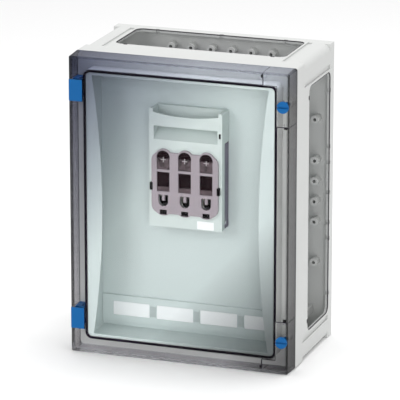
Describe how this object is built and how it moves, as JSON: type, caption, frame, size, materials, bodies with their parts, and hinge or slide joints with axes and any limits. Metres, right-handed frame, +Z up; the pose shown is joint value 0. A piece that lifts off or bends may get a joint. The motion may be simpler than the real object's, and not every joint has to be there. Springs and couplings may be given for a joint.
{
  "type": "dc combiner box",
  "caption": "Insulated grey wall box with a clear smoked hinged lid over a fused switch behind a protection cover.",
  "frame": {"origin": "on the surface under the box, below the middle of its width and depth", "axes": "-Y out of the lid, +X to the right seen from the front, +Z up"},
  "size_m": [0.27, 0.166, 0.36],
  "materials": {
    "case_grey": "fine moulded texture",
    "cover_grey": "smooth moulded",
    "carrier_grey": "smooth moulded",
    "holder_plastic": "smooth moulded",
    "housing_dark": "satin moulded",
    "clip_black": "satin",
    "edge_rubber": "matte",
    "gasket_rubber": "matte foam",
    "blue_plastic": "semi-gloss moulded",
    "lid_smoke": "clear smoked polycarbonate",
    "window_smoke": "smoked lilac polycarbonate",
    "lens_dark": "dark tinted polycarbonate",
    "card_white": "plain blank card",
    "plate_steel": "zinc plated",
    "pin_steel": "ground",
    "screw_steel": "zinc plated",
    "bar_brass": "drawn",
    "contact_metal": "silver plated copper",
    "fuse_ceramic": "glazed ceramic"
  },
  "bodies": {
    "base": {"base_shell": "case_grey", "top_opening_seal": "edge_rubber", "bottom_opening_seal": "edge_rubber", "left_opening_seal": "edge_rubber", "right_opening_seal": "edge_rubber", "upper_hinge_pin": "pin_steel", "lower_hinge_pin": "pin_steel", "cover_frame": "cover_grey", "cover_plate": "cover_grey", "cover_screws": "screw_steel", "label_strip": "cover_grey", "label_cards": "card_white", "mounting_plate": "plate_steel", "mounting_plate_screws": "screw_steel", "earth_bar": "bar_brass", "neutral_bar": "bar_brass", "bar_holders": "holder_plastic", "bar_screws": "screw_steel", "bar_holder_screws": "screw_steel", "switch_housing": "housing_dark", "switch_spacers": "holder_plastic", "switch_screws": "screw_steel", "upper_contacts": "contact_metal", "lower_contacts": "contact_metal", "terminal_bolts": "screw_steel", "carrier_pivot_pin": "pin_steel"},
    "lid": {"lid": "lid_smoke", "upper_lock_corner": "lid_smoke", "lower_lock_corner": "lid_smoke", "lid_gasket": "gasket_rubber", "upper_hinge_block": "blue_plastic", "lower_hinge_block": "blue_plastic"},
    "upper_fastener": {"upper_lid_fastener": "blue_plastic", "upper_fastener_ring": "screw_steel"},
    "lower_fastener": {"lower_lid_fastener": "blue_plastic", "lower_fastener_ring": "screw_steel"},
    "carrier": {"fuse_carrier": "carrier_grey", "carrier_window": "window_smoke", "window_lenses": "lens_dark", "window_clips": "clip_black", "rating_card": "card_white", "left_fuse_body": "fuse_ceramic", "middle_fuse_body": "fuse_ceramic", "right_fuse_body": "fuse_ceramic", "left_fuse_blades": "contact_metal", "middle_fuse_blades": "contact_metal", "right_fuse_blades": "contact_metal"}
  },
  "joints": [
    {"name": "lid_hinge", "type": "hinge", "parent": "base", "child": "lid", "pos_m": [-0.1325, -0.0614, 0.18], "axis": [0, 0, -1], "range_deg": [0, 125]},
    {"name": "upper_fastener_turn", "type": "hinge", "parent": "lid", "child": "upper_fastener", "pos_m": [0.1263, -0.08, 0.32], "axis": [0, 1, 0], "range_deg": [0, 90]},
    {"name": "lower_fastener_turn", "type": "hinge", "parent": "lid", "child": "lower_fastener", "pos_m": [0.1263, -0.08, 0.04], "axis": [0, 1, 0], "range_deg": [0, 90]},
    {"name": "carrier_hinge", "type": "hinge", "parent": "base", "child": "carrier", "pos_m": [0, -0.038, 0.165], "axis": [1, 0, 0], "range_deg": [0, 75]}
  ],
  "couplings": [
    {"joint": "carrier_hinge", "follows": "lid_hinge", "ratio": 0.6}
  ]
}
